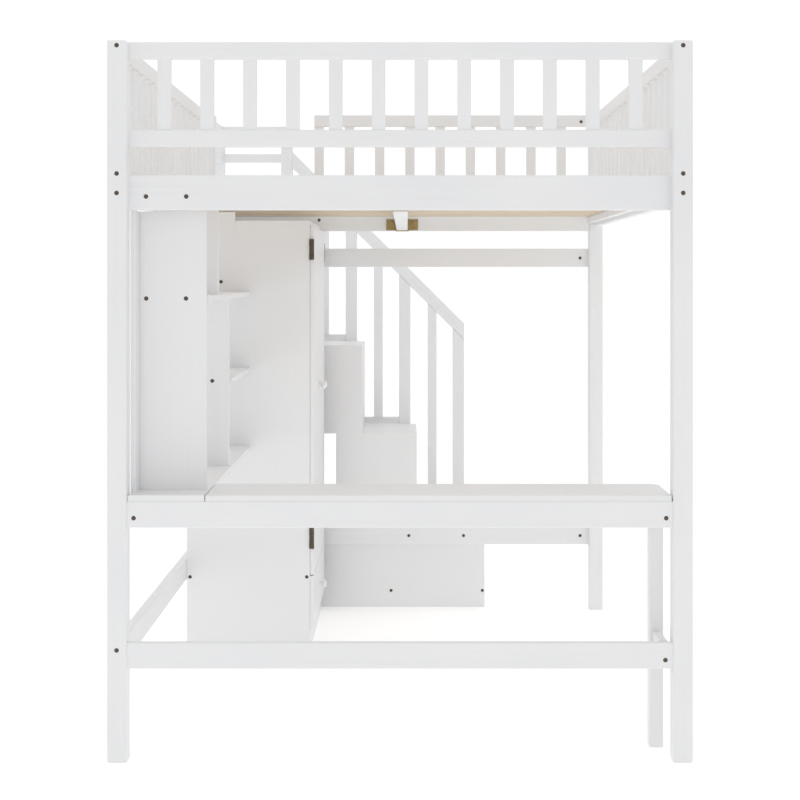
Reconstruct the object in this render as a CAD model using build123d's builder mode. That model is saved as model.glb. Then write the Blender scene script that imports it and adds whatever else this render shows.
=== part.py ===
from build123d import *
import os

# Loft bed with a desk, bookshelf, wardrobe and storage stairs. Millimetres, +Z up.
# X runs across the bed: -X is the wall side, +X the open side. Depths along Y are
# counted from the front face of the front posts and shifted so that 0 is the middle.

# ---- driving dimensions ----
BED_WIDTH = 1445
BED_LENGTH = 2015
HEIGHT = 1781
STAIR_DEPTH = 415
GUARD_THICK = 30
LENGTH = BED_LENGTH + STAIR_DEPTH + GUARD_THICK
FRONT = -LENGTH / 2

POST_WIDE = 49
POST_DEEP = 56
HALF = BED_WIDTH / 2
INNER = HALF - POST_WIDE
REAR_POST = BED_LENGTH - POST_DEEP

RAIL = 20
SLAT_WIDE = 34
SLAT_THICK = 14
BOARD = 15
PANEL = 16

TOP_RAIL = (1739, HEIGHT)
MID_RAIL = (1520, 1563)
END_RAIL = (1363, 1450)
SIDE_RAIL = (1380, 1460)
LOWER_RAIL = (230, 295)
SIDE_RAIL_X = (690, 712)
END_RAIL_Y = (POST_DEEP - RAIL, POST_DEEP)
REAR_RAIL_Y = (REAR_POST, REAR_POST + RAIL)
OUTER_RAIL_Y = (BED_LENGTH - RAIL, BED_LENGTH)
FRONT_RAIL_Y = (6, 26)
BEAM_HALF = 19.5
BASE_LEVEL = 1414

DESK_TOP = 658
SHELF_EDGE = -483
DIVIDER_EDGE = -491
FILLER_X = (-673, -660)
BOOK_PANEL_Y = 125
UPPER_SHELF = 1150
MIDDLE_SHELF = 908
LOWER_DIVIDER_Y = 680
UPPER_DIVIDER_Y = 400
BOOKCASE_TOP = 1363
UPPER_DIVIDER_TOP = 1405

WARDROBE_X = (-687, -292.6)
WARDROBE_Y = (1265, 1958)
WARDROBE_TOP = 1363
WARDROBE_FLOOR = 247
HAT_SHELF = 1190
DOOR_X = (-292, -280)
DOOR_GAP = 3
DOOR_TOP = 1360
DOOR_BOTTOM = 246
DRAWER_Z = (72, 242)
HINGE_X = -284
HINGE_OUT = 6
LEAF_SEAT_X = -295
HINGE_Z = (1286, 363)
HINGE_LONG = 66
KNUCKLE = 5
PIN = 2.2
PIN_PLAY = 0.05

STEP_TOPS = (308, 630, 950, 1270)
BASE_BOX_X = (-372, 299)
LOWER_BOX_X = (-240, 53)
UPPER_BOX_X = (-372, -146)
TOWER_X = (-HALF, -373)
STAIR_Y = (BED_LENGTH, BED_LENGTH + STAIR_DEPTH)
GUARD_Y = (STAIR_Y[1], STAIR_Y[1] + GUARD_THICK)
STAIR_POST = 44
STAIR_POSTS_X = (216.7, 8.8, -198)
LANDING_POST_X = -448
BALUSTERS_X = (115, -93.5, -302)
SILL_HIGH = 26
HANDRAIL_END = 238.7
HANDRAIL_LOW = 1019
HANDRAIL_DEEP = 64

BOLT = 5.5
BOLT_HIGH = 6
POCKET = 5.8
POCKET_DEEP = 7
SOCKET = 2.6

os.makedirs("parts", exist_ok=True)
bolt_seats = []


def save(name, part):
    """Label a finished piece and write its STEP file."""
    part.label = name
    export_step(part, f"parts/{name}.step")


def board(x, y, z, round_off=1.5, along=None):
    """Add one board between two corners, with its long edges rounded."""
    size = (x[1] - x[0], y[1] - y[0], z[1] - z[0])
    middle = (sum(x) / 2, FRONT + sum(y) / 2, sum(z) / 2)
    axis = size.index(max(size)) if along is None else along
    if axis == 0:
        plane = Plane((x[0], middle[1], middle[2]), x_dir=(0, 1, 0), z_dir=(1, 0, 0))
        section = (size[1], size[2])
    elif axis == 1:
        plane = Plane((middle[0], FRONT + y[0], middle[2]), x_dir=(1, 0, 0), z_dir=(0, 1, 0))
        section = (size[0], size[2])
    else:
        plane = Plane((middle[0], middle[1], z[0]), x_dir=(1, 0, 0), z_dir=(0, 0, 1))
        section = (size[0], size[1])
    with BuildSketch(plane) as outline:
        RectangleRounded(*section, round_off)
    extrude(outline.sketch, amount=size[axis])


def bolt_seat(*seats, facing):
    """Cut a pocket for a socket-head bolt at each (x, y, z) of a face; its bolt is made later."""
    planes = [Plane((x, FRONT + y, z), z_dir=facing) for x, y, z in seats]
    bolt_seats.extend(planes)
    with Locations(*planes):
        Cylinder(POCKET, POCKET_DEEP, align=(Align.CENTER, Align.CENTER, Align.MAX), mode=Mode.SUBTRACT)


def both(outer):
    """The wall side and the open side of a span given on the open side."""
    return {"left": (-outer[1], -outer[0]), "right": outer}


# ---- bed frame ----
def posts():
    side_bolts = (1768, 1452, 1404)
    end_bolts = (1759, 1541, 1427, 1386, 260)
    for side, x in both((INNER, HALF)).items():
        centre = sum(x) / 2
        outside = -1 if side == "left" else 1
        for end, y in {"front": (0, POST_DEEP), "rear": (REAR_POST, BED_LENGTH)}.items():
            with BuildPart() as post:
                board(x, y, (0, HEIGHT), round_off=5)
                chamfer(post.faces().sort_by(Axis.Z)[-1].edges(), 3)
                chamfer(post.faces().sort_by(Axis.Z)[0].edges(), 2)
                face_y = y[0] if end == "front" else y[1]
                heights = side_bolts if side == "right" or end == "rear" else side_bolts + (277,)
                out = (0, -1, 0) if end == "front" else (0, 1, 0)
                bolt_seat(*[(centre, face_y, z) for z in heights], facing=out)
                rail_y = sum(END_RAIL_Y) / 2 if end == "front" else sum(REAR_RAIL_Y) / 2
                spots = [(outside * HALF, rail_y, z) for z in end_bolts]
                bolt_seat(*spots, facing=(outside, 0, 0))
            save(f"{end}_{side}_post", post.part)


def front_end():
    span = (-INNER, INNER)
    with BuildPart() as rails:
        board(span, END_RAIL_Y, TOP_RAIL, round_off=3)
        board(span, END_RAIL_Y, MID_RAIL, round_off=3)
    save("front_guard_rails", rails.part)

    with BuildPart() as slats:
        middle = FRONT + sum(END_RAIL_Y) / 2
        with BuildSketch(Plane.XY.offset(MID_RAIL[1])) as sections:
            with Locations((0, middle)):
                with GridLocations(106.6, 0, 12, 1):
                    RectangleRounded(SLAT_WIDE, SLAT_THICK, 2)
        extrude(sections.sketch, amount=TOP_RAIL[0] - MID_RAIL[1])
    save("front_guard_slats", slats.part)

    with BuildPart() as end_rail:
        board(span, END_RAIL_Y, END_RAIL, round_off=3)
        bolt_seat((-631, END_RAIL_Y[0], 1397), (-531, END_RAIL_Y[0], 1397), facing=(0, -1, 0))
    save("front_end_rail", end_rail.part)

    with BuildPart() as lower:
        board(span, FRONT_RAIL_Y, LOWER_RAIL, round_off=3)
        bolt_seat((655, FRONT_RAIL_Y[0], 252), facing=(0, -1, 0))
    save("front_lower_rail", lower.part)


def rear_end():
    first_slat = -299
    pitch = 109
    count = 9
    rail_start = first_slat - SLAT_WIDE / 2
    with BuildPart() as rails:
        board((rail_start, INNER), REAR_RAIL_Y, TOP_RAIL, round_off=3)
        bolt_seat((644, REAR_RAIL_Y[0], 1757), facing=(0, -1, 0))
        board((rail_start, INNER), REAR_RAIL_Y, MID_RAIL, round_off=3)
    save("rear_guard_rails", rails.part)

    with BuildPart() as slats:
        middle = FRONT + sum(REAR_RAIL_Y) / 2
        spots = [(first_slat + pitch * i, middle) for i in range(count)]
        with BuildSketch(Plane.XY.offset(MID_RAIL[1])) as sections:
            with Locations(*spots):
                RectangleRounded(SLAT_WIDE, SLAT_THICK, 2)
        extrude(sections.sketch, amount=TOP_RAIL[0] - MID_RAIL[1])
        with BuildSketch(Plane.XY.offset(END_RAIL[1])) as foot:
            with Locations(spots[0]):
                RectangleRounded(SLAT_WIDE, SLAT_THICK, 2)
        extrude(foot.sketch, amount=MID_RAIL[0] - END_RAIL[1])
    save("rear_guard_slats", slats.part)

    with BuildPart() as end_rail:
        board((-INNER, INNER), REAR_RAIL_Y, END_RAIL, round_off=3)
        bolt_seat((-299, REAR_RAIL_Y[0], 1403), facing=(0, -1, 0))
    save("rear_end_rail", end_rail.part)

    with BuildPart() as upper:
        board((-INNER, INNER), OUTER_RAIL_Y, (1234, 1301), round_off=3)
        bolt_seat((644, OUTER_RAIL_Y[0], 1267), facing=(0, -1, 0))
    save("rear_upper_rail", upper.part)

    with BuildPart() as lower:
        board((-INNER, INNER), OUTER_RAIL_Y, LOWER_RAIL, round_off=3)
        bolt_seat(*[(x, OUTER_RAIL_Y[0], 262) for x in (24, 222, 644)], facing=(0, -1, 0))
    save("rear_lower_rail", lower.part)


def sides():
    span = (POST_DEEP, REAR_POST)
    pitch = 106
    count = 17
    middle = FRONT + sum(span) / 2
    for side, x in both(SIDE_RAIL_X).items():
        with BuildPart() as rail:
            board(x, span, SIDE_RAIL, round_off=3)
        save(f"{side}_side_rail", rail.part)

        with BuildPart() as guard:
            board(x, span, TOP_RAIL, round_off=3)
        save(f"{side}_guard_rails", guard.part)

        with BuildPart() as slats:
            with BuildSketch(Plane.XY.offset(SIDE_RAIL[1])) as sections:
                with Locations((sum(x) / 2, middle)):
                    with GridLocations(0, pitch, 1, count):
                        RectangleRounded(SLAT_THICK, SLAT_WIDE, 2)
            extrude(sections.sketch, amount=TOP_RAIL[0] - SIDE_RAIL[1])
        save(f"{side}_guard_slats", slats.part)

    with BuildPart() as lower:
        board((-SIDE_RAIL_X[1], WARDROBE_X[0]), span, LOWER_RAIL, round_off=3)
    save("left_lower_rail", lower.part)


def bed_base():
    span = (POST_DEEP, REAR_POST)
    beam = (BASE_LEVEL - 49, BASE_LEVEL)
    with BuildPart() as centre_beam:
        board((-BEAM_HALF, BEAM_HALF), (span[0] + 3, span[1] - 3), beam, round_off=3)
    save("centre_beam", centre_beam.part)

    plate = 3
    wing = 57
    bracket_z = (1366, 1406)
    with BuildPart() as brackets:
        for y, reach in ((span[0], 1), (span[1], -1)):
            back = FRONT + y + reach * plate / 2
            arm = FRONT + y + reach * 16
            middle_z = sum(bracket_z) / 2
            high = bracket_z[1] - bracket_z[0]
            for hand in (-1, 1):
                inner = BEAM_HALF + 0.2
                with Locations((hand * (inner + wing) / 2, back, middle_z)):
                    Box(wing - inner, plate, high)
                with Locations((hand * (inner + plate / 2), arm, middle_z)):
                    Box(plate, 32, high)
                with Locations(*[(hand * 40, back, middle_z + dz) for dz in (-13, 13)]):
                    Cylinder(2.5, 8, rotation=(90, 0, 0), mode=Mode.SUBTRACT)
            with Locations((0, arm, bracket_z[0] - plate / 2 - 1)):
                Box(2 * (BEAM_HALF + 0.2 + plate), 32, plate)
            with Locations(*[(hand * (BEAM_HALF + 1.7), arm, bracket_z[0] - 0.5) for hand in (-1, 1)]):
                Box(plate, 32, 1)
    save("beam_brackets", brackets.part)

    ledger_high = 22
    with BuildPart() as ledgers:
        for x in both((SIDE_RAIL_X[0] - 22, SIDE_RAIL_X[0])).values():
            board(x, span, (BASE_LEVEL - ledger_high, BASE_LEVEL), round_off=2)
    save("slat_ledgers", ledgers.part)

    slat_count = 14
    slat_wide = 68
    pitch = 136
    with BuildPart() as slats:
        with BuildSketch(Plane.YZ.offset(-SIDE_RAIL_X[0] + 3)) as sections:
            with Locations((FRONT + sum(span) / 2, BASE_LEVEL + 9)):
                with GridLocations(pitch, 0, slat_count, 1):
                    RectangleRounded(slat_wide, 18, 2)
        extrude(sections.sketch, amount=2 * SIDE_RAIL_X[0] - 6)
    save("bed_slats", slats.part)


# ---- desk ----
def desk():
    front_edge = 8
    back_edge = 250
    right_end = 671
    left_end = SHELF_EDGE + 3
    with BuildPart() as top:
        with BuildSketch(Plane.XY.offset(DESK_TOP - BOARD)) as outline:
            middle = ((left_end + right_end) / 2, FRONT + (front_edge + back_edge) / 2)
            with Locations(middle):
                Rectangle(right_end - left_end, back_edge - front_edge)
            corner = outline.vertices().sort_by_distance((right_end, FRONT + back_edge, 0))[0]
            fillet(corner, 30)
        extrude(amount=BOARD)
        chamfer(top.faces().sort_by(Axis.Z)[-1].edges(), 1)
    save("desk_top", top.part)

    with BuildPart() as apron:
        board((-INNER, INNER), FRONT_RAIL_Y, (578, DESK_TOP - BOARD), round_off=2)
        bolt_seat((-657, FRONT_RAIL_Y[0], 602), (657, FRONT_RAIL_Y[0], 602), facing=(0, -1, 0))
    save("desk_apron", apron.part)

    leg_x = (635, 670)
    leg_y = (141, 186)
    with BuildPart() as leg:
        board(leg_x, leg_y, (0, DESK_TOP - BOARD), round_off=3)
        chamfer(leg.faces().sort_by(Axis.Z)[0].edges(), 2)
    save("desk_leg", leg.part)

    stretcher_x = (643, 663)
    with BuildPart() as stretchers:
        for z in ((240, 296), (DESK_TOP - BOARD - 56, DESK_TOP - BOARD)):
            board(stretcher_x, (FRONT_RAIL_Y[1], leg_y[0]), z, round_off=2, along=1)
    save("desk_stretchers", stretchers.part)


# ---- bookshelf ----
def bookshelf():
    inside_x = (FILLER_X[1], DIVIDER_EDGE)
    shelf_x = (FILLER_X[1], SHELF_EDGE)
    far = WARDROBE_Y[0]
    near_bay = BOOK_PANEL_Y + PANEL
    with BuildPart() as bottom:
        board((-INNER + 1, SHELF_EDGE), (8, far), (DESK_TOP - BOARD, DESK_TOP))
    save("bookshelf_bottom_board", bottom.part)

    with BuildPart() as filler:
        board(FILLER_X, (POST_DEEP + 1, near_bay), (DESK_TOP, BOOKCASE_TOP))
    save("bookshelf_filler_strip", filler.part)

    with BuildPart() as side:
        board(inside_x, (BOOK_PANEL_Y, near_bay), (DESK_TOP, BOOKCASE_TOP))
        heights = UPPER_SHELF - BOARD / 2
        bolt_seat((-644, BOOK_PANEL_Y, heights), (-543, BOOK_PANEL_Y, heights), facing=(0, -1, 0))
    save("bookshelf_side_panel", side.part)

    with BuildPart() as shelves:
        board(shelf_x, (near_bay, far), (UPPER_SHELF - BOARD, UPPER_SHELF))
        board(shelf_x, (LOWER_DIVIDER_Y + PANEL, far), (MIDDLE_SHELF - BOARD, MIDDLE_SHELF))
    save("bookshelf_shelves", shelves.part)

    with BuildPart() as dividers:
        lower_y = (LOWER_DIVIDER_Y, LOWER_DIVIDER_Y + PANEL)
        board(inside_x, lower_y, (DESK_TOP, UPPER_SHELF - BOARD))
        bolt_seat((-539, LOWER_DIVIDER_Y, MIDDLE_SHELF - BOARD / 2), facing=(0, -1, 0))
        upper_y = (UPPER_DIVIDER_Y, UPPER_DIVIDER_Y + PANEL)
        board(inside_x, upper_y, (UPPER_SHELF, UPPER_DIVIDER_TOP))
    save("bookshelf_dividers", dividers.part)


# ---- wardrobe ----
def wardrobe():
    inside_y = (WARDROBE_Y[0] + PANEL, WARDROBE_Y[1] - PANEL)
    back_x = WARDROBE_X[0] + BOARD
    tab_x = (-660, -533)
    for name, y in {"near": (WARDROBE_Y[0], inside_y[0]), "far": (inside_y[1], WARDROBE_Y[1])}.items():
        with BuildPart() as side:
            board(WARDROBE_X, y, (0, WARDROBE_TOP))
            hinge_middles = [(LEAF_SEAT_X, FRONT + sum(y) / 2, z) for z in HINGE_Z]
            with Locations(*hinge_middles):
                leaf_seat = (PANEL, PANEL, HINGE_LONG + 2)
                Box(*leaf_seat, align=(Align.MIN, Align.CENTER, Align.CENTER), mode=Mode.SUBTRACT)
            if name == "near":
                floor_bolts = [(x, y[0], WARDROBE_FLOOR - 8) for x in (-676, -303)]
                bolt_seat(*floor_bolts, (-577, y[0], HAT_SHELF - BOARD / 2), facing=(0, -1, 0))
                board(tab_x, y, (WARDROBE_TOP - BOARD, UPPER_DIVIDER_TOP))
        save(f"wardrobe_{name}_panel", side.part)

    with BuildPart() as top:
        board(WARDROBE_X, WARDROBE_Y, (WARDROBE_TOP, WARDROBE_TOP + BOARD))
        notch_x = (tab_x[0] - 0.5, tab_x[1] + 0.5)
        with Locations((sum(notch_x) / 2, FRONT + WARDROBE_Y[0], WARDROBE_TOP + BOARD / 2)):
            notch = (notch_x[1] - notch_x[0], 2 * (PANEL + 0.5), 2 * BOARD)
            Box(*notch, mode=Mode.SUBTRACT)
    save("wardrobe_top_panel", top.part)

    with BuildPart() as back:
        board((WARDROBE_X[0], back_x), inside_y, (0, WARDROBE_TOP))
    save("wardrobe_back_panel", back.part)

    inside_x = (back_x, WARDROBE_X[1])
    with BuildPart() as floor:
        board(inside_x, inside_y, (WARDROBE_FLOOR - BOARD, WARDROBE_FLOOR))
    save("wardrobe_floor_panel", floor.part)

    with BuildPart() as hat_shelf:
        board((back_x, WARDROBE_X[1] - 4), inside_y, (HAT_SHELF - BOARD, HAT_SHELF))
    save("wardrobe_hat_shelf", hat_shelf.part)

    rod_radius = 12.5
    rod_drop = 55
    with BuildPart() as rod:
        start = Plane((sum(inside_x) / 2, FRONT + inside_y[0], HAT_SHELF - rod_drop), z_dir=(0, 1, 0))
        long = inside_y[1] - inside_y[0]
        with BuildSketch(start, start.offset(long - 5)):
            Circle(rod_radius + 8)
        extrude(amount=5)
        with BuildSketch(start):
            Circle(rod_radius)
        extrude(amount=long)
    save("hanging_rod", rod.part)

    with BuildPart() as plinth:
        board((WARDROBE_X[1] - PANEL, WARDROBE_X[1]), inside_y, (0, DRAWER_Z[0] - 3))
        bolt_seat(*[(WARDROBE_X[1], y, 45) for y in (1504, 1719)], facing=(1, 0, 0))
    save("wardrobe_plinth", plinth.part)

    with BuildPart() as runners:
        for y in ((inside_y[0], inside_y[0] + 13), (inside_y[1] - 13, inside_y[1])):
            board((back_x, WARDROBE_X[1] - 4), y, (118, 146))
    save("drawer_runners", runners.part)


def hinge(axis_y, toward, middle, carcass):
    """Add one butt hinge half: two end knuckles and the pin, or the middle knuckle."""
    plate = 1.4
    plate_long = 14
    third = HINGE_LONG / 3
    low = middle - HINGE_LONG / 2
    plate_x = LEAF_SEAT_X + plate / 2 if carcass else DOOR_X[0] - plate / 2
    tab_left = plate_x - plate / 2
    axis = FRONT + axis_y
    with Locations((plate_x, axis + toward * (HINGE_OUT + 1 + plate_long / 2), middle)):
        Box(plate, plate_long, HINGE_LONG)
    spans = (low, low + 2 * third) if carcass else (low + third,)
    height = third if carcass else third - 0.4
    for start in spans:
        level = start + third / 2
        with Locations(((tab_left + HINGE_X) / 2, axis + toward * 4, level)):
            Box(HINGE_X - tab_left, 5, height)
        with Locations((plate_x, axis + toward * 6.5, level)):
            Box(plate, 3, height)
        with Locations((HINGE_X, axis, level)):
            Cylinder(KNUCKLE, height)
    with Locations((HINGE_X, axis, middle)):
        if carcass:
            Cylinder(PIN, HINGE_LONG)
        else:
            Cylinder(PIN + PIN_PLAY, HINGE_LONG, mode=Mode.SUBTRACT)


def knob(name, y, z):
    """A turned knob on the outer face of a door or drawer front."""
    with BuildPart() as turned:
        with BuildSketch(Plane((DOOR_X[1], FRONT + y, z), x_dir=(1, 0, 0), z_dir=(0, -1, 0))):
            with BuildLine():
                Polyline((10, 6), (3, 9), (0, 9), (0, 0), (22, 0))
                ThreePointArc((22, 0), (19, 12), (10, 6))
            make_face()
        axis = Axis((DOOR_X[1], FRONT + y, z), (1, 0, 0))
        revolve(axis=axis)
    save(name, turned.part)


def doors():
    middle = sum(WARDROBE_Y) / 2
    hinge_lines = {"near": (WARDROBE_Y[0] - HINGE_OUT, 1), "far": (WARDROBE_Y[1] + HINGE_OUT, -1)}
    spans = {
        "near": (WARDROBE_Y[0] + 1, middle - DOOR_GAP / 2),
        "far": (middle + DOOR_GAP / 2, WARDROBE_Y[1] - 1),
    }
    with BuildPart() as carcass_leaves:
        for line, toward in hinge_lines.values():
            for z in HINGE_Z:
                hinge(line, toward, z, carcass=True)
    save("carcass_hinge_leaves", carcass_leaves.part)

    knob_inset = 44
    for name, (line, toward) in hinge_lines.items():
        with BuildPart() as door:
            board(DOOR_X, spans[name], (DOOR_BOTTOM, DOOR_TOP))
        save(f"{name}_door", door.part)
        with BuildPart() as leaves:
            for z in HINGE_Z:
                hinge(line, toward, z, carcass=False)
        save(f"{name}_door_hinge_leaves", leaves.part)
        knob(f"{name}_door_knob", middle - toward * knob_inset, 832)


def drawer():
    with BuildPart() as front:
        board(DOOR_X, (WARDROBE_Y[0] + 1, WARDROBE_Y[1] - 1), DRAWER_Z)
    save("drawer_front", front.part)

    tray_y = (WARDROBE_Y[0] + PANEL + 13.5, WARDROBE_Y[1] - PANEL - 13.5)
    tray_x = (-655, DOOR_X[0])
    tray_z = (84, 216)
    wall = 12
    with BuildPart() as tray:
        centre = (sum(tray_x) / 2, FRONT + sum(tray_y) / 2)
        with Locations((*centre, tray_z[0])):
            upward = (Align.CENTER, Align.CENTER, Align.MIN)
            Box(tray_x[1] - tray_x[0], tray_y[1] - tray_y[0], tray_z[1] - tray_z[0], align=upward)
        with Locations((*centre, tray_z[0] + 8)):
            hollow = (tray_x[1] - tray_x[0] - 2 * wall, tray_y[1] - tray_y[0] - 2 * wall, tray_z[1])
            Box(*hollow, align=upward, mode=Mode.SUBTRACT)
    save("drawer_tray", tray.part)
    knob("drawer_knob", sum(WARDROBE_Y) / 2, sum(DRAWER_Z) / 2)


# ---- stairs ----
def stairs():
    near = (STAIR_Y[0], STAIR_Y[0] + BOARD)
    inside = (near[1], STAIR_Y[1])
    base, lower, upper, landing = STEP_TOPS
    boxes = (
        (BASE_BOX_X, 0, base),
        (LOWER_BOX_X, base, lower),
        (UPPER_BOX_X, lower + BOARD, upper),
        (TOWER_X, 0, landing),
    )
    with BuildPart() as back_panels:
        for x, bottom, tread in boxes:
            board(x, near, (bottom, tread - BOARD), round_off=1)
        base_spots = [(x, near[0], 60) for x in (-40.5, 291)]
        bolt_seat(*base_spots, facing=(0, -1, 0))
    save("stair_back_panels", back_panels.part)

    with BuildPart() as uprights:
        for x, bottom, tread in boxes:
            for edge in (x[0], x[1] - BOARD):
                board((edge, edge + BOARD), inside, (bottom, tread - BOARD), round_off=1)
        board((-48, -33), inside, (0, base - BOARD), round_off=1)
    save("stair_uprights", uprights.part)

    with BuildPart() as treads:
        for x, bottom, tread in boxes:
            board(x, STAIR_Y, (tread - BOARD, tread), round_off=1)
    save("stair_treads", treads.part)

    tower_inside = (TOWER_X[0] + BOARD, TOWER_X[1] - BOARD)
    floor = (15, 30)
    with BuildPart() as shelves:
        board((BASE_BOX_X[0] + BOARD, -48), inside, floor, round_off=1)
        board((-33, BASE_BOX_X[1] - BOARD), inside, floor, round_off=1)
        board(UPPER_BOX_X, STAIR_Y, (lower, lower + BOARD), round_off=1)
        for z in (floor[1], base, lower, upper):
            board(tower_inside, inside, (z - BOARD, z), round_off=1)
    save("stair_shelves", shelves.part)


def handrail_top(x):
    """Height of the handrail's upper edge, which falls at 45 degrees towards +X."""
    return HANDRAIL_LOW + HANDRAIL_END - x


def guard_piece(x, low, high):
    """Add a post of the stair guard from low to high, where each may be one height per side."""
    outline = [(x[0], low), (x[1], low), (x[1], high[1]), (x[0], high[0])]
    plane = Plane((0, FRONT + GUARD_Y[0], 0), x_dir=(1, 0, 0), z_dir=(0, -1, 0))
    with BuildSketch(plane) as face:
        with BuildLine():
            Polyline(*outline, close=True)
        make_face()
    extrude(face.sketch, amount=-GUARD_THICK)


def stair_guard():
    half = STAIR_POST / 2
    far_left = (-HALF, -HALF + SLAT_WIDE)
    with BuildPart() as rail:
        start = LANDING_POST_X + half
        plane = Plane((0, FRONT + GUARD_Y[0], 0), x_dir=(1, 0, 0), z_dir=(0, -1, 0))
        with BuildSketch(plane):
            with BuildLine():
                Polyline(
                    (start, handrail_top(start)),
                    (HANDRAIL_END, HANDRAIL_LOW),
                    (HANDRAIL_END, HANDRAIL_LOW - HANDRAIL_DEEP),
                    (start, handrail_top(start) - HANDRAIL_DEEP),
                    close=True,
                )
            make_face()
        extrude(amount=-GUARD_THICK)
        long_edges = rail.edges().filter_by(lambda e: abs(e.tangent_at(0).Z) > 0.5 and e.length > 500)
        fillet(long_edges, 4)
    save("stair_handrail", rail.part)

    with BuildPart() as posts_and_balusters:
        for centre in STAIR_POSTS_X:
            x = (centre - half, centre + half)
            tops = [handrail_top(edge) - HANDRAIL_DEEP for edge in x]
            guard_piece(x, 0, tops)
        for centre, tread in zip(BALUSTERS_X, STEP_TOPS):
            x = (centre - SLAT_WIDE / 2, centre + SLAT_WIDE / 2)
            tops = [handrail_top(edge) - HANDRAIL_DEEP for edge in x]
            guard_piece(x, tread + SILL_HIGH, tops)
        guard_piece((LANDING_POST_X - half, LANDING_POST_X + half), 0, (HEIGHT, HEIGHT))
        guard_piece(far_left, 0, (HEIGHT, HEIGHT))
        uprights = posts_and_balusters.edges().filter_by(Axis.Z)
        fillet(uprights, 3)
    save("stair_guard_posts", posts_and_balusters.part)

    ends = (*STAIR_POSTS_X, LANDING_POST_X)
    rail_y = (GUARD_Y[0] + 5, GUARD_Y[1] - 5)
    side_x = (-HALF + 6, -HALF + 26)
    with BuildPart() as rails:
        for right, left, tread in zip(ends, ends[1:], STEP_TOPS):
            board((left + half, right - half), rail_y, (tread, tread + SILL_HIGH), along=0)
        for z in ((1358, 1391), (1500, 1533), (1642, 1675), TOP_RAIL):
            board((far_left[1], LANDING_POST_X - half), rail_y, z, round_off=2, along=0)
            board(side_x, (STAIR_Y[0], GUARD_Y[0]), z, round_off=2, along=1)
    save("stair_guard_rails", rails.part)


def frame_bolts():
    """Every socket-head bolt, sunk a little below the face that it is driven into."""
    sink = POCKET_DEEP - BOLT_HIGH
    heads = [seat.offset(-sink) for seat in bolt_seats]
    with BuildPart() as bolts:
        with Locations(*heads):
            Cylinder(BOLT, BOLT_HIGH, align=(Align.CENTER, Align.CENTER, Align.MAX))
            with BuildSketch() as hexagon:
                RegularPolygon(SOCKET, 6)
            extrude(hexagon.sketch, amount=-3, mode=Mode.SUBTRACT)
    save("frame_bolts", bolts.part)


posts()
front_end()
rear_end()
sides()
bed_base()
desk()
bookshelf()
wardrobe()
doors()
drawer()
stairs()
stair_guard()
frame_bolts()
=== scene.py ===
"""Looks of a white loft bed with a desk, bookshelf, wardrobe and storage stairs.

Metres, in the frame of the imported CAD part: X across the bed, Y from the desk end to the
stairs, Z up from the floor.
"""

import math

import bmesh
import bpy
from mathutils import Matrix, Vector

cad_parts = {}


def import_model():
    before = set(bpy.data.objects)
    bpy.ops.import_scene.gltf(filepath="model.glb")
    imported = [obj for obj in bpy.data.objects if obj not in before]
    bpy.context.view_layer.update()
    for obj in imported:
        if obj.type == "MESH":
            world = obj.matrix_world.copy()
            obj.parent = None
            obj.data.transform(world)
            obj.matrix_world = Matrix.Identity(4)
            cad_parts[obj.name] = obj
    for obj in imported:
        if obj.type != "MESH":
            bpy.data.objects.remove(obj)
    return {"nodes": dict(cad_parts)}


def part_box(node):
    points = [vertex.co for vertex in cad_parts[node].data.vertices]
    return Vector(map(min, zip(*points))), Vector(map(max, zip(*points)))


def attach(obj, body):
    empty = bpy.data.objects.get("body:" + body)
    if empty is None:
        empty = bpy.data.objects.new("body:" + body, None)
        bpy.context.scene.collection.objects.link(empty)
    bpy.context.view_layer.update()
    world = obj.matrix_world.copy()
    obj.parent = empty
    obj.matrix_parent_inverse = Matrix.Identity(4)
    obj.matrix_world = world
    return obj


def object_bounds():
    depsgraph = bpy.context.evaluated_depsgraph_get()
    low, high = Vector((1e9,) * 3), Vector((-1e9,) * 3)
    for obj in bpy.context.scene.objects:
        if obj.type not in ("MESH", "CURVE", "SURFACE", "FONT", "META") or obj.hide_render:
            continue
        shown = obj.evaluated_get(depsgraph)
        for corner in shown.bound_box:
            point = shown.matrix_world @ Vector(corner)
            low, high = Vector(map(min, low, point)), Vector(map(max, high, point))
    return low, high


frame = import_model()
cad_low, cad_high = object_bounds()
NODES = frame["nodes"]


# ---- camera ----
CAMERA_ASIDE = 0.0175
CAMERA_BACK = 4.249
CAMERA_UP = 1.1945
CAMERA_CLIP = (0.1, 100)
SENSOR = 36.0
FRAME_PIXELS = 800
FOCAL_PIXELS = 1725
AXIS_PIXEL = (407, 278)


def camera():
    """A level camera with a vertical shift, so that posts stay upright as in the photograph."""
    data = bpy.data.cameras.new("studio_camera")
    data.sensor_width = SENSOR
    data.lens = SENSOR * FOCAL_PIXELS / FRAME_PIXELS
    data.shift_x = (FRAME_PIXELS / 2 - AXIS_PIXEL[0]) / FRAME_PIXELS
    data.shift_y = (AXIS_PIXEL[1] - FRAME_PIXELS / 2) / FRAME_PIXELS
    data.clip_start, data.clip_end = CAMERA_CLIP
    made = bpy.data.objects.new("studio_camera", data)
    bpy.context.scene.collection.objects.link(made)
    made.location = (CAMERA_ASIDE, cad_low.y - CAMERA_BACK, CAMERA_UP)
    made.rotation_euler = (math.pi / 2, 0, 0)
    bpy.context.scene.camera = made


# ---- shader nodes ----
AXES = "XYZ"
MIX_COLOURS = (6, 7)
MIX_RESULT = 2


def add(tree, kind, inputs=None, **settings):
    """A shader node with its settings, its inputs linked where they are sockets."""
    node = tree.nodes.new("ShaderNode" + kind)
    for name, value in settings.items():
        setattr(node, name, value)
    for name, value in (inputs or {}).items():
        if isinstance(value, bpy.types.NodeSocket):
            tree.links.new(value, node.inputs[name])
        else:
            node.inputs[name].default_value = value
    return node


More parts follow.
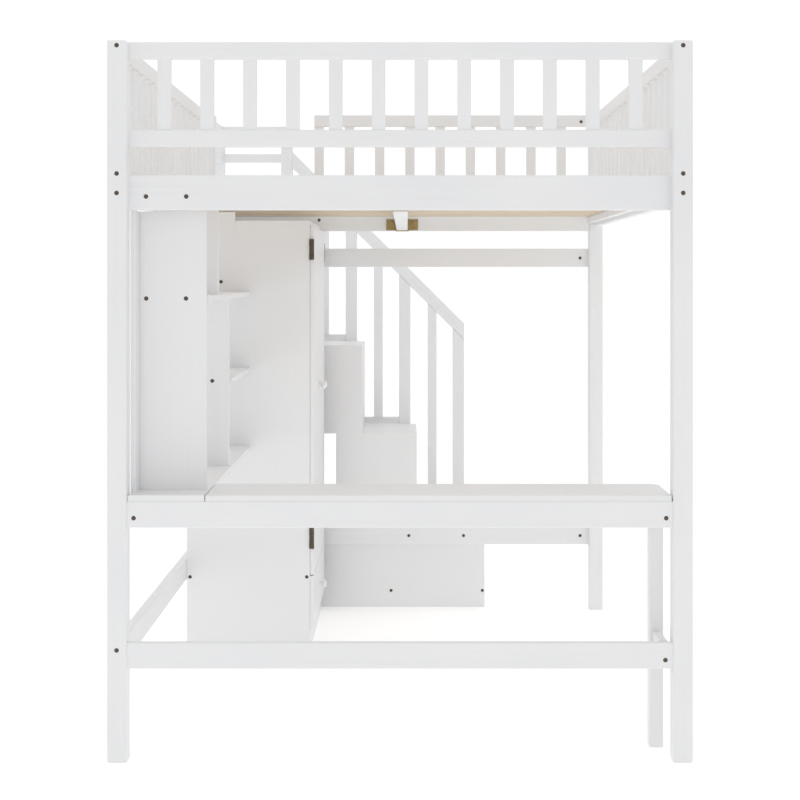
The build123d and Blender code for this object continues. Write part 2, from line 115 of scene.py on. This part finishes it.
def calc(tree, operation, first, second):
    """The result of one sum."""
    return add(tree, "Math", {0: first, 1: second}, operation=operation).outputs[0]


def scaled(tree, value, share):
    """A value times a constant."""
    return calc(tree, "MULTIPLY", value, share)


def remap(tree, value, source, target=(0.0, 1.0), smooth=False):
    """A value taken from one range to another, and held inside it."""
    inputs = {
        "Value": value,
        "From Min": source[0],
        "From Max": source[1],
        "To Min": target[0],
        "To Max": target[1],
    }
    kind = "SMOOTHSTEP" if smooth else "LINEAR"
    return add(tree, "MapRange", inputs, interpolation_type=kind).outputs["Result"]


def blend(tree, factor, first, second):
    """Two colours mixed."""
    node = add(tree, "Mix", {"Factor": factor}, data_type="RGBA")
    for index, value in zip(MIX_COLOURS, (first, second)):
        if isinstance(value, bpy.types.NodeSocket):
            tree.links.new(value, node.inputs[index])
        else:
            node.inputs[index].default_value = (*value, 1.0)
    return node.outputs[MIX_RESULT]


def place(tree):
    """Object coordinates, in metres."""
    return add(tree, "TexCoord").outputs["Object"]


def noise(tree, where, scale, detail=3.0, rough=0.5, distortion=0.0):
    """Plain noise, with its scale in cells per metre."""
    inputs = {
        "Vector": where,
        "Scale": scale,
        "Detail": detail,
        "Roughness": rough,
        "Distortion": distortion,
    }
    return add(tree, "TexNoise", inputs).outputs["Fac"]


def stretched(tree, grain, cells):
    """Object coordinates scaled to cells per metre along the grain and across it."""
    where = place(tree)
    along, across = cells
    scale = tuple(along if axis == grain else across for axis in AXES)
    return add(tree, "Mapping", {"Vector": where, "Scale": scale}).outputs[0]


def streaks(tree, grain, cells, detail, rough=0.5, distortion=0.0):
    """Noise drawn out along the grain."""
    return noise(tree, stretched(tree, grain, cells), 1.0, detail, rough, distortion)


def edge_mask(tree, radius, bounds):
    """How near a surface point is to a sharp edge, from 0 to 1."""
    rounded = add(tree, "Bevel", {"Radius": radius}, samples=4).outputs[0]
    plain = add(tree, "NewGeometry").outputs["Normal"]
    facing = add(tree, "VectorMath", {0: rounded, 1: plain}, operation="DOT_PRODUCT")
    apart = calc(tree, "SUBTRACT", 1.0, facing.outputs["Value"])
    return remap(tree, apart, bounds, smooth=True)


def surface(name, roughness, metallic=0.0):
    """A new material, its node tree and its shader."""
    made = bpy.data.materials.new(name)
    made.use_nodes = True
    shader = made.node_tree.nodes["Principled BSDF"]
    shader.inputs["Metallic"].default_value = metallic
    shader.inputs["Roughness"].default_value = roughness
    return made, made.node_tree, shader


def finish(tree, shader, tone, roughness, height, depth, strength=0.5):
    """Link the colour, the roughness and a bump of some depth in metres."""
    raised = add(tree, "Bump", {"Height": height, "Distance": depth, "Strength": strength})
    tree.links.new(tone, shader.inputs["Base Color"])
    tree.links.new(roughness, shader.inputs["Roughness"])
    tree.links.new(raised.outputs[0], shader.inputs["Normal"])


# ---- backdrop, floor and light ----
PURE_WHITE = (1.0, 1.0, 1.0, 1.0)
WORLD_LEVEL = 0.83
WORLD_FRONT = 0.64
WORLD_TURN = (-0.9, 0.1)
BACKDROP_LEVEL = 1.05
FLOOR_RADIUS = 7.0
FLOOR_SIDES = 96
FLOOR_GAP = 0.0005
FLOOR_GLOW = 0.27
FLOOR_CLOUD = 1.3
FLOOR_TINTS = ((0.95, 0.95, 0.95), (0.98, 0.98, 0.98))


def world():
    """A white backdrop, and even light all round that is weaker from the front."""
    made = bpy.data.worlds.new("studio")
    made.use_nodes = True
    tree = made.node_tree
    tree.nodes.clear()
    where = add(tree, "TexCoord").outputs["Generated"]
    parts = add(tree, "SeparateXYZ", {0: where})
    level = remap(tree, parts.outputs["Y"], WORLD_TURN, (WORLD_FRONT, WORLD_LEVEL), smooth=True)
    seen = add(tree, "LightPath").outputs["Is Camera Ray"]
    strength = remap(tree, seen, (0.0, 1.0), (level, BACKDROP_LEVEL))
    light = add(tree, "Background", {"Color": PURE_WHITE, "Strength": strength})
    out = add(tree, "OutputWorld", {"Surface": light.outputs[0]})
    out.is_active_output = True
    bpy.context.scene.world = made


def floor():
    """A wide pale floor with a little glow, so that it meets the white backdrop evenly."""
    mesh = bpy.data.meshes.new("studio_floor")
    shape = bmesh.new()
    bmesh.ops.create_circle(shape, cap_ends=True, segments=FLOOR_SIDES, radius=FLOOR_RADIUS)
    shape.to_mesh(mesh)
    shape.free()
    made = bpy.data.objects.new("studio_floor", mesh)
    made.location.z = cad_low.z - FLOOR_GAP
    bpy.context.scene.collection.objects.link(made)
    look, tree, shader = surface("studio_floor", 0.9)
    where = place(tree)
    cloud = add(tree, "TexNoise", {"Vector": where, "Scale": FLOOR_CLOUD, "Detail": 3.0})
    tree.links.new(blend(tree, cloud.outputs["Fac"], *FLOOR_TINTS), shader.inputs["Base Color"])
    shader.inputs["Specular IOR Level"].default_value = 0.1
    shader.inputs["Emission Color"].default_value = PURE_WHITE
    shader.inputs["Emission Strength"].default_value = FLOOR_GLOW
    mesh.materials.append(look)


def hang(name, data, heading):
    """A light in the scene, turned to shine along a heading."""
    made = bpy.data.objects.new(name, data)
    made.rotation_euler = Vector(heading).to_track_quat("-Z", "Y").to_euler()
    bpy.context.scene.collection.objects.link(made)
    return made


def area_light(name, stand, target, size, power):
    """A soft box that faces a point."""
    data = bpy.data.lights.new(name, "AREA")
    data.shape = "RECTANGLE"
    data.size, data.size_y = size
    data.energy = power
    hang(name, data, Vector(target) - Vector(stand)).location = stand


def sun_light(name, heading, power, spread):
    """Even soft light from one side, with no falloff."""
    data = bpy.data.lights.new(name, "SUN")
    data.energy = power
    data.angle = math.radians(spread)
    hang(name, data, heading)


def lights():
    """A weak soft box on the wall side, a wide one above, and a faint fill from the front."""
    area_light("soft_left", stand=(-3.6, 0.5, 1.6), target=(0, 0.7, 1.0), size=(0.9, 2.2), power=12)
    area_light("soft_top", stand=(0.0, 0.3, 4.4), target=(0, 0, 0), size=(3.4, 4.2), power=34)
    sun_light("front_fill", heading=(-0.12, 1.0, 0.02), power=0.32, spread=50)


# ---- materials ----
# Cells per metre along the grain and across it.
GRAIN_STREAKS = (6.0, 260.0)
GRAIN_BANDS = (1.2, 34.0)
BRUSH_MARKS = (16.0, 900.0)
ROLLER_LAY = (5.0, 130.0)
RING_SWAY = (1.4, 9.0)
RING_BANDS = (1.6, 120.0)
WOOD_PORES = (28.0, 1300.0)
KNOT_CELLS = (3.1, 9.0)
DRAWN_LINES = (30.0, 1400.0)
TURNED_RINGS = (900.0, 20.0)

# Cells per metre, the same all ways.
WOOD_CLOUD = 3.1
PANEL_CLOUD = 2.3
ENAMEL_CLOUD = 60.0
WOOD_CHIPS = 46.0
PANEL_CHIPS = 60.0
ORANGE_PEEL = 420.0
PLATING_GRIT = 2200.0

# Paint, from its darker clouds to its paler ones, then where it is thin.
WOOD_PAINT = ((0.845, 0.85, 0.862), (0.875, 0.878, 0.885))
WOOD_BAND_TONE = (0.83, 0.832, 0.838)
WOOD_STREAK_TONE = (0.80, 0.80, 0.80)
WOOD_EDGE_TONE = (0.78, 0.765, 0.735)
PANEL_PAINT = ((0.85, 0.853, 0.862), (0.872, 0.875, 0.882))
PANEL_LAY_TONE = (0.825, 0.828, 0.834)
PANEL_EDGE_TONE = (0.79, 0.775, 0.745)
ENAMEL_PAINT = ((0.87, 0.872, 0.88), (0.84, 0.842, 0.85))
MIDDLE_NOISE = (0.3, 0.7)


def worn_edges(tree, where, radius, bounds, chips, patches):
    """Patchy wear along sharp edges."""
    edge = edge_mask(tree, radius, bounds)
    return calc(tree, "MULTIPLY", edge, remap(tree, noise(tree, where, chips, 4.0), patches))


def relief(tree, first, share, second, rest):
    """Two heights added in their shares."""
    return calc(tree, "ADD", scaled(tree, first, share), scaled(tree, second, rest))


def painted_wood(grain):
    """White satin paint on solid wood: the grain shows faintly through it, and edges are thin."""
    look, tree, shader = surface(f"painted_wood_{grain.lower()}", 0.4)
    where = place(tree)
    lines = streaks(tree, grain, GRAIN_STREAKS, 4.0, 0.6)
    bands = streaks(tree, grain, GRAIN_BANDS, 2.0, 0.5, 0.4)
    brush = streaks(tree, grain, BRUSH_MARKS, 2.0)
    cloud = noise(tree, where, WOOD_CLOUD, 2.0)
    wear = worn_edges(tree, where, 0.0022, (0.02, 0.22), WOOD_CHIPS, (0.4, 0.68))
    tone = blend(tree, remap(tree, cloud, MIDDLE_NOISE), *WOOD_PAINT)
    tone = blend(tree, remap(tree, bands, (0.52, 0.75), (0.0, 0.5)), tone, WOOD_BAND_TONE)
    tone = blend(tree, remap(tree, lines, (0.55, 0.8), (0.0, 0.55)), tone, WOOD_STREAK_TONE)
    tone = blend(tree, scaled(tree, wear, 0.5), tone, WOOD_EDGE_TONE)
    rough = remap(tree, lines, (0.3, 0.75), (0.34, 0.46))
    rough = calc(tree, "ADD", rough, scaled(tree, wear, 0.12))
    finish(tree, shader, tone, rough, relief(tree, lines, 0.7, brush, 0.3), 0.00022)
    return look


def painted_panel(grain):
    """White satin paint rolled on board: almost even, with a fine orange peel."""
    look, tree, shader = surface(f"painted_panel_{grain.lower()}", 0.38)
    where = place(tree)
    peel = noise(tree, where, ORANGE_PEEL, 3.0, 0.55)
    lay = streaks(tree, grain, ROLLER_LAY, 3.0, 0.55)
    cloud = noise(tree, where, PANEL_CLOUD, 2.0)
    wear = worn_edges(tree, where, 0.0018, (0.02, 0.25), PANEL_CHIPS, (0.42, 0.7))
    tone = blend(tree, remap(tree, cloud, MIDDLE_NOISE), *PANEL_PAINT)
    tone = blend(tree, remap(tree, lay, (0.55, 0.8), (0.0, 0.4)), tone, PANEL_LAY_TONE)
    tone = blend(tree, scaled(tree, wear, 0.45), tone, PANEL_EDGE_TONE)
    rough = remap(tree, lay, MIDDLE_NOISE, (0.33, 0.42))
    rough = calc(tree, "ADD", rough, scaled(tree, wear, 0.1))
    finish(tree, shader, tone, rough, relief(tree, peel, 0.6, lay, 0.4), 0.00016, 0.45)
    return look


def bare_wood(name, grain, pale, ring, knot, gloss):
    """Planed softwood or hardwood: rings in long bands, pores and a few knots."""
    look, tree, shader = surface(name, gloss)
    swayed = tuple((a + b) / 2 for a, b in zip(ring, knot))
    rubbed = tuple(min(1.0, part * 1.12) for part in pale)
    sway = streaks(tree, grain, RING_SWAY, 2.0)
    bands = streaks(tree, grain, RING_BANDS, 3.0, 0.55, 1.2)
    pores = streaks(tree, grain, WOOD_PORES, 2.0, 0.6)
    cells = add(tree, "TexVoronoi", {"Vector": stretched(tree, grain, KNOT_CELLS), "Scale": 1.0})
    knots = remap(tree, cells.outputs["Distance"], (0.05, 0.12), (1.0, 0.0), smooth=True)
    tone = blend(tree, remap(tree, bands, (0.42, 0.62)), pale, ring)
    tone = blend(tree, remap(tree, sway, (0.35, 0.7), (0.0, 0.45)), tone, swayed)
    tone = blend(tree, remap(tree, pores, (0.6, 0.78), (0.0, 0.4)), tone, knot)
    tone = blend(tree, scaled(tree, knots, 0.8), tone, knot)
    worn = edge_mask(tree, 0.002, (0.02, 0.25))
    tone = blend(tree, scaled(tree, worn, 0.25), tone, rubbed)
    rough = remap(tree, bands, MIDDLE_NOISE, (gloss - 0.06, gloss + 0.08))
    finish(tree, shader, tone, rough, relief(tree, bands, 0.6, pores, 0.4), 0.0003)
    return look


def metal(name, base, dark, edge_wear_and_highlight, roughness, spots=220.0, grain=None):
    """Plated or blackened metal with a mottled finish, and edges made lighter partly by wear and partly
    by a painted highlight.
    """
    look, tree, shader = surface(name, sum(roughness) / 2, metallic=1.0)
    where = place(tree)
    mottle = noise(tree, where, spots, 3.0, 0.6)
    if grain:
        fine = streaks(tree, grain, DRAWN_LINES, 2.0)
    else:
        fine = noise(tree, where, PLATING_GRIT, 2.0)
    # Every edge is lighter all round: partly worn metal, partly a painted highlight.
    worn_and_highlit_rim = edge_mask(tree, 0.0006, (0.03, 0.3))
    tone = blend(tree, remap(tree, mottle, (0.38, 0.66)), base, dark)
    tone = blend(tree, scaled(tree, worn_and_highlit_rim, 0.7), tone, edge_wear_and_highlight)
    finish(tree, shader, tone, remap(tree, mottle, MIDDLE_NOISE, roughness), fine, 0.00005)
    return look


def enamel():
    """Glossy white enamel on a turned knob."""
    look, tree, shader = surface("knob_enamel", 0.2)
    where = place(tree)
    rings = streaks(tree, "X", TURNED_RINGS, 2.0)
    cloud = noise(tree, where, ENAMEL_CLOUD, 3.0)
    tone = blend(tree, remap(tree, cloud, (0.35, 0.7)), *ENAMEL_PAINT)
    shader.inputs["Coat Weight"].default_value = 0.4
    shader.inputs["Coat Roughness"].default_value = 0.12
    finish(tree, shader, tone, remap(tree, cloud, MIDDLE_NOISE, (0.16, 0.26)), rings, 0.00008, 0.4)
    return look


WOOD = {axis: painted_wood(axis) for axis in AXES}
PANEL = {axis: painted_panel(axis) for axis in AXES}
PINE = bare_wood(
    "pine", "X", pale=(0.76, 0.66, 0.53), ring=(0.66, 0.54, 0.4), knot=(0.4, 0.29, 0.19), gloss=0.55
)
RUNNER = bare_wood(
    "runner_wood", "X", pale=(0.72, 0.56, 0.36), ring=(0.58, 0.41, 0.24), knot=(0.34, 0.2, 0.1), gloss=0.4
)
ZINC = metal(
    "zinc_plate",
    base=(0.44, 0.34, 0.17),
    dark=(0.3, 0.23, 0.1),
    edge_wear_and_highlight=(0.62, 0.5, 0.3),
    roughness=(0.34, 0.5),
)
BOLT = metal(
    "black_bolt",
    base=(0.16, 0.12, 0.09),
    dark=(0.06, 0.05, 0.045),
    edge_wear_and_highlight=(0.42, 0.34, 0.26),
    roughness=(0.32, 0.5),
    spots=900.0,
)
HINGE = metal(
    "bronze_hinge",
    base=(0.16, 0.13, 0.1),
    dark=(0.07, 0.06, 0.05),
    edge_wear_and_highlight=(0.45, 0.38, 0.3),
    roughness=(0.34, 0.5),
    spots=400.0,
)
ROD = metal(
    "rod_steel",
    base=(0.72, 0.73, 0.75),
    dark=(0.6, 0.61, 0.63),
    edge_wear_and_highlight=(0.85, 0.86, 0.88),
    roughness=(0.12, 0.24),
    spots=90.0,
    grain="Y",
)
ENAMEL = enamel()

# Nodes of painted solid wood, then of painted board, by the axis that their grain follows.
WOOD_NODES = {
    "X": "front_guard_rails front_end_rail front_lower_rail rear_guard_rails rear_end_rail "
    "rear_upper_rail rear_lower_rail desk_apron desk_stretchers stair_handrail",
    "Y": "left_side_rail right_side_rail left_guard_rails right_guard_rails left_lower_rail "
    "centre_beam slat_ledgers stair_guard_rails",
    "Z": "front_left_post front_right_post rear_left_post rear_right_post front_guard_slats "
    "rear_guard_slats left_guard_slats right_guard_slats desk_leg stair_guard_posts",
}
PANEL_NODES = {
    "X": "desk_top bookshelf_shelves stair_treads stair_shelves wardrobe_plinth "
    "wardrobe_hat_shelf wardrobe_floor_panel wardrobe_top_panel bookshelf_dividers",
    "Y": "bookshelf_bottom_board drawer_front drawer_tray",
    "Z": "bookshelf_filler_strip bookshelf_side_panel wardrobe_near_panel wardrobe_far_panel "
    "wardrobe_back_panel near_door far_door stair_back_panels stair_uprights",
}
OTHER_NODES = {
    "bed_slats": PINE,
    "drawer_runners": RUNNER,
    "beam_brackets": ZINC,
    "frame_bolts": BOLT,
    "carcass_hinge_leaves": HINGE,
    "near_door_hinge_leaves": HINGE,
    "far_door_hinge_leaves": HINGE,
    "hanging_rod": ROD,
    "near_door_knob": ENAMEL,
    "far_door_knob": ENAMEL,
    "drawer_knob": ENAMEL,
}


def dress():
    """Every CAD node gets its material, with the grain along its boards."""
    looks = dict(OTHER_NODES)
    for table, kinds in ((WOOD_NODES, WOOD), (PANEL_NODES, PANEL)):
        for axis, names in table.items():
            looks.update({name: kinds[axis] for name in names.split()})
    unmatched = sorted(set(NODES) ^ set(looks))
    if unmatched:
        raise ValueError(f"nodes and looks differ: {unmatched}")
    for name, look in looks.items():
        mesh = NODES[name].data
        if mesh.materials:
            for index in range(len(mesh.materials)):
                mesh.materials[index] = look
        else:
            mesh.materials.append(look)


# ---- bracket screws ----
SCREW_RADIUS = 0.0046
SCREW_HEIGHT = 0.0018
SCREW_RINGS = 20
SCREW_SIDES = 48
CROSS_LONG = 0.0026
CROSS_WIDE = 0.0006
CROSS_DEEP = 0.0011
BRACKET_PLATE = 0.003
SCREWS_EACH = 4
SCREW_ACROSS = 0.040
SCREW_APART = 0.013
SCREW_LEVEL = 0.020
SCREW_TURN = 0.4


def screw_height(across, along):
    """The height of a domed head with a cross recess, above the plate."""
    ratio = min(1.0, math.hypot(across, along) / SCREW_RADIUS)
    dome = SCREW_HEIGHT * math.sqrt(1.0 - ratio**2)
    near, far = sorted((abs(across), abs(along)))
    recessed = near < CROSS_WIDE and far < CROSS_LONG
    return max(0.0, dome - CROSS_DEEP) if recessed else dome


def screw_ring(shape, radius):
    """One ring of points on the head."""
    points = []
    for side in range(SCREW_SIDES):
        angle = math.tau * side / SCREW_SIDES
        across, along = radius * math.cos(angle), radius * math.sin(angle)
        points.append(shape.verts.new((across, along, screw_height(across, along))))
    return points


def screw_head(name, stand, facing, turn):
    """A pan-head screw on a bracket plate."""
    shape = bmesh.new()
    centre = shape.verts.new((0, 0, screw_height(0, 0)))
    inner = None
    for ring in range(1, SCREW_RINGS + 1):
        outer = screw_ring(shape, SCREW_RADIUS * ring / SCREW_RINGS)
        for side in range(SCREW_SIDES):
            after = (side + 1) % SCREW_SIDES
            if inner is None:
                shape.faces.new((centre, outer[side], outer[after]))
            else:
                shape.faces.new((inner[side], outer[side], outer[after], inner[after]))
        inner = outer
    shape.faces.new(list(reversed(inner)))
    aim = Vector((0, facing, 0)).to_track_quat("Z", "Y").to_matrix().to_4x4()
    shape.transform(Matrix.Translation(stand) @ aim @ Matrix.Rotation(turn, 4, "Z"))
    mesh = bpy.data.meshes.new(name)
    shape.to_mesh(mesh)
    shape.free()
    mesh.materials.append(ZINC)
    made = bpy.data.objects.new(name, mesh)
    bpy.context.scene.collection.objects.link(made)
    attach(made, "bed_frame")


def bracket_screws():
    """Four screws in the holes of each beam bracket, each turned differently."""
    low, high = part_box("beam_brackets")
    middle = high.z - SCREW_LEVEL
    ends = (("front", low.y + BRACKET_PLATE, 1), ("rear", high.y - BRACKET_PLATE, -1))
    for end, y, facing in ends:
        for index in range(SCREWS_EACH):
            across = SCREW_ACROSS * (1 if index % 2 else -1)
            level = middle + SCREW_APART * (1 if index // 2 else -1)
            stand = (across, y, level)
            screw_head(f"bracket_screw_{end}_{index}", stand, facing, SCREW_TURN * index)


dress()
bracket_screws()
camera()
world()
floor()
lights()
bpy.context.scene.view_settings.view_transform = "Standard"
